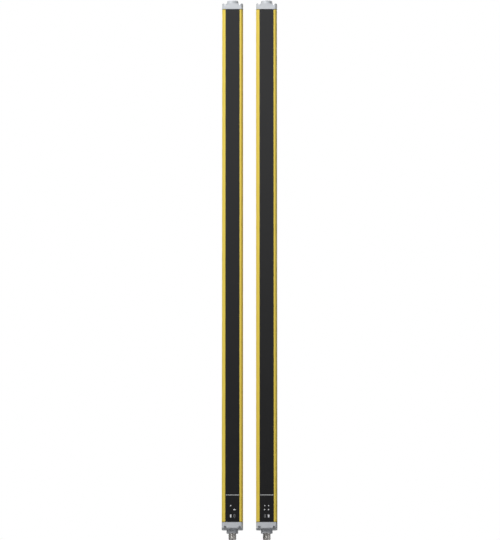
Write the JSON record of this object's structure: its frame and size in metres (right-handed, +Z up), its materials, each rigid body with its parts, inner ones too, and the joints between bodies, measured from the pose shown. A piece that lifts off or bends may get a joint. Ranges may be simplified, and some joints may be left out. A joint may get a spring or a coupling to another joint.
{
  "type": "safety light curtain",
  "caption": "Upright emitter and receiver bars of a safety light curtain, with yellow housings, smoked front windows, grey end caps and a round plug below.",
  "frame": {"origin": "centre of the pair: midway between the two bars, at mid depth and mid height", "axes": "+X from the emitter to the receiver, +Y from the windows to the rear fixing slots, +Z up, away from the plugs"},
  "size_m": [0.085, 0.036, 0.839],
  "materials": {
    "yellow_paint": "semi-gloss powder coat on an aluminium extrusion",
    "window_plastic": "polished smoked acrylic that passes infrared",
    "cap_grey": "satin grey paint on a die casting",
    "seal_rubber": "matt black",
    "screw_steel": "zinc plated",
    "plated_brass": "nickel-plated brass",
    "insert_plastic": "matt black moulding",
    "contact_gold": "gold flash",
    "carrier_plastic": "matt black moulding",
    "lens_plastic": "clear red-tinted acrylic",
    "board_green": "coated circuit board",
    "diode_plastic": "dark moulded package",
    "guide_plastic": "clear moulded light guide",
    "lead_plastic": "amber film"
  },
  "bodies": {
    "root": {"emitter_bottom_cap": "cap_grey", "emitter_bottom_gasket": "seal_rubber", "emitter_carrier_pads": "seal_rubber", "emitter_control_board": "board_green", "emitter_control_chips": "diode_plastic", "emitter_diode_boards": "board_green", "emitter_diodes": "diode_plastic", "emitter_front_window": "window_plastic", "emitter_housing_profile": "yellow_paint", "emitter_lead_ribbon": "lead_plastic", "emitter_lens_strip_1": "lens_plastic", "emitter_lens_strip_2": "lens_plastic", "emitter_lens_strip_3": "lens_plastic", "emitter_lens_strip_4": "lens_plastic", "emitter_lens_strip_5": "lens_plastic", "emitter_light_guide": "guide_plastic", "emitter_optic_block_1": "carrier_plastic", "emitter_optic_block_2": "carrier_plastic", "emitter_optic_block_3": "carrier_plastic", "emitter_optic_block_4": "carrier_plastic", "emitter_optic_block_5": "carrier_plastic", "emitter_optics_carrier": "carrier_plastic", "emitter_plug_contacts": "contact_gold", "emitter_plug_insert": "insert_plastic", "emitter_plug_sleeve": "plated_brass", "emitter_top_cap": "cap_grey", "emitter_top_gasket": "seal_rubber", "emitter_window_seal_left": "seal_rubber", "emitter_window_seal_right": "seal_rubber", "receiver_bottom_cap": "cap_grey", "receiver_bottom_gasket": "seal_rubber", "receiver_carrier_pads": "seal_rubber", "receiver_control_board": "board_green", "receiver_control_chips": "diode_plastic", "receiver_diode_boards": "board_green", "receiver_diodes": "diode_plastic", "receiver_front_window": "window_plastic", "receiver_housing_profile": "yellow_paint", "receiver_lead_ribbon": "lead_plastic", "receiver_lens_strip_1": "lens_plastic", "receiver_lens_strip_2": "lens_plastic", "receiver_lens_strip_3": "lens_plastic", "receiver_lens_strip_4": "lens_plastic", "receiver_lens_strip_5": "lens_plastic", "receiver_light_guide": "guide_plastic", "receiver_optic_block_1": "carrier_plastic", "receiver_optic_block_2": "carrier_plastic", "receiver_optic_block_3": "carrier_plastic", "receiver_optic_block_4": "carrier_plastic", "receiver_optic_block_5": "carrier_plastic", "receiver_optics_carrier": "carrier_plastic", "receiver_plug_contacts": "contact_gold", "receiver_plug_insert": "insert_plastic", "receiver_plug_sleeve": "plated_brass", "receiver_top_cap": "cap_grey", "receiver_top_gasket": "seal_rubber", "receiver_window_seal_left": "seal_rubber", "receiver_window_seal_right": "seal_rubber"}
  },
  "joints": []
}
